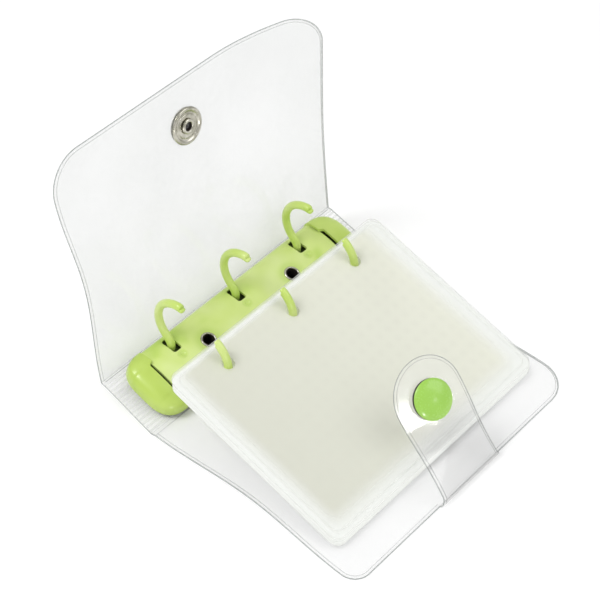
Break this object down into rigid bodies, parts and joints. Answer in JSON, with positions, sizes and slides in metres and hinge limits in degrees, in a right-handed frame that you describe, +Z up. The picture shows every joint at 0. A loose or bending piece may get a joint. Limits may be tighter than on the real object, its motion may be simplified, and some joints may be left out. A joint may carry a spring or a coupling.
{
  "type": "stamp album",
  "caption": "Small clear-covered ring album standing open: painted ring mechanism on the spine, pocket pages on the rings, strap with snap.",
  "frame": {"origin": "middle of the fold between the back cover and the spine, on the surface the back cover lies on", "axes": "+X from the fold to the back cover's fore-edge, +Y along the spine, +Z up"},
  "size_m": [0.1175, 0.1004, 0.0786],
  "materials": {
    "clear_sheet": "clear flexible plastic sheet, glossy",
    "film": "clear embossed pocket film",
    "card": "pale cream backing sheet",
    "green_paint": "gloss yellow-green paint",
    "cap_paint": "gloss green paint",
    "nickel": "nickel plate",
    "plate_steel": "yellow-green paint"
  },
  "bodies": {
    "spine": {"spine_panel": "clear_sheet", "ring_top_plate": "green_paint", "rivet_near": "nickel", "rivet_far": "nickel", "rivet_near_washer": "nickel", "rivet_far_washer": "nickel"},
    "back_cover": {"back_cover": "clear_sheet"},
    "front_cover": {"front_cover": "clear_sheet", "cover_snap_plate": "nickel", "cover_snap_post": "nickel"},
    "strap": {"closure_strap": "clear_sheet", "strap_snap_cap": "cap_paint", "strap_snap_ring": "nickel", "strap_snap_socket": "nickel"},
    "left_half": {"hinge_plate_left": "plate_steel", "ring_left_near": "green_paint", "ring_left_mid": "green_paint", "ring_left_far": "green_paint"},
    "right_half": {"hinge_plate_right": "plate_steel", "ring_right_near": "green_paint", "ring_right_mid": "green_paint", "ring_right_far": "green_paint"},
    "lever_near": {"lever_near": "green_paint"},
    "lever_far": {"lever_far": "green_paint"},
    "pages": {"page_2": "film", "page_card_2": "card", "page_3": "film", "page_card_3": "card", "page_4": "film", "page_card_4": "card", "page_5": "film", "page_card_5": "card", "page_6": "film", "page_card_6": "card"},
    "top_page": {"page_1": "film", "page_card_1": "card"}
  },
  "joints": [
    {"name": "back_cover_fold", "type": "hinge", "parent": "spine", "child": "back_cover", "pos_m": [0, 0, 0.0003], "axis": [0, 1, 0], "range_deg": [0, 3]},
    {"name": "front_cover_fold", "type": "hinge", "parent": "spine", "child": "front_cover", "pos_m": [-0.02106, 0, 0.00543], "axis": [0, 1, 0], "range_deg": [-75, 9]},
    {"name": "strap_fold", "type": "hinge", "parent": "back_cover", "child": "strap", "pos_m": [0.0762, 0, 0.0004], "axis": [0, 1, 0], "range_deg": [0, 120]},
    {"name": "ring_close_left", "type": "hinge", "parent": "spine", "child": "left_half", "pos_m": [-0.01856, 0, 0.00684], "axis": [0, 1, 0], "range_deg": [0, 17.1]},
    {"name": "ring_close_right", "type": "hinge", "parent": "spine", "child": "right_half", "pos_m": [-0.00118, 0, 0.00218], "axis": [0, 1, 0], "range_deg": [-17.1, 0]},
    {"name": "lever_near_pivot", "type": "hinge", "parent": "spine", "child": "lever_near", "pos_m": [-0.00977, -0.0382, 0.00489], "axis": [0.9659, 0, -0.2588], "range_deg": [-8, 0]},
    {"name": "lever_far_pivot", "type": "hinge", "parent": "spine", "child": "lever_far", "pos_m": [-0.00977, 0.0382, 0.00489], "axis": [0.9659, 0, -0.2588], "range_deg": [0, 8]},
    {"name": "pages_level", "type": "hinge", "parent": "right_half", "child": "pages", "pos_m": [0.00743, 0, 0.01716], "axis": [0, 1, 0], "range_deg": [0, 15.39]},
    {"name": "top_page_lift", "type": "hinge", "parent": "pages", "child": "top_page", "pos_m": [-0.00032, 0, 0.02036], "axis": [0, -1, 0], "range_deg": [0, 2]}
  ],
  "couplings": [
    {"joint": "ring_close_right", "follows": "ring_close_left", "ratio": -1},
    {"joint": "pages_level", "follows": "ring_close_left", "ratio": 0.9},
    {"joint": "lever_near_pivot", "follows": "ring_close_left", "ratio": -0.46784},
    {"joint": "lever_far_pivot", "follows": "ring_close_left", "ratio": 0.46784}
  ]
}
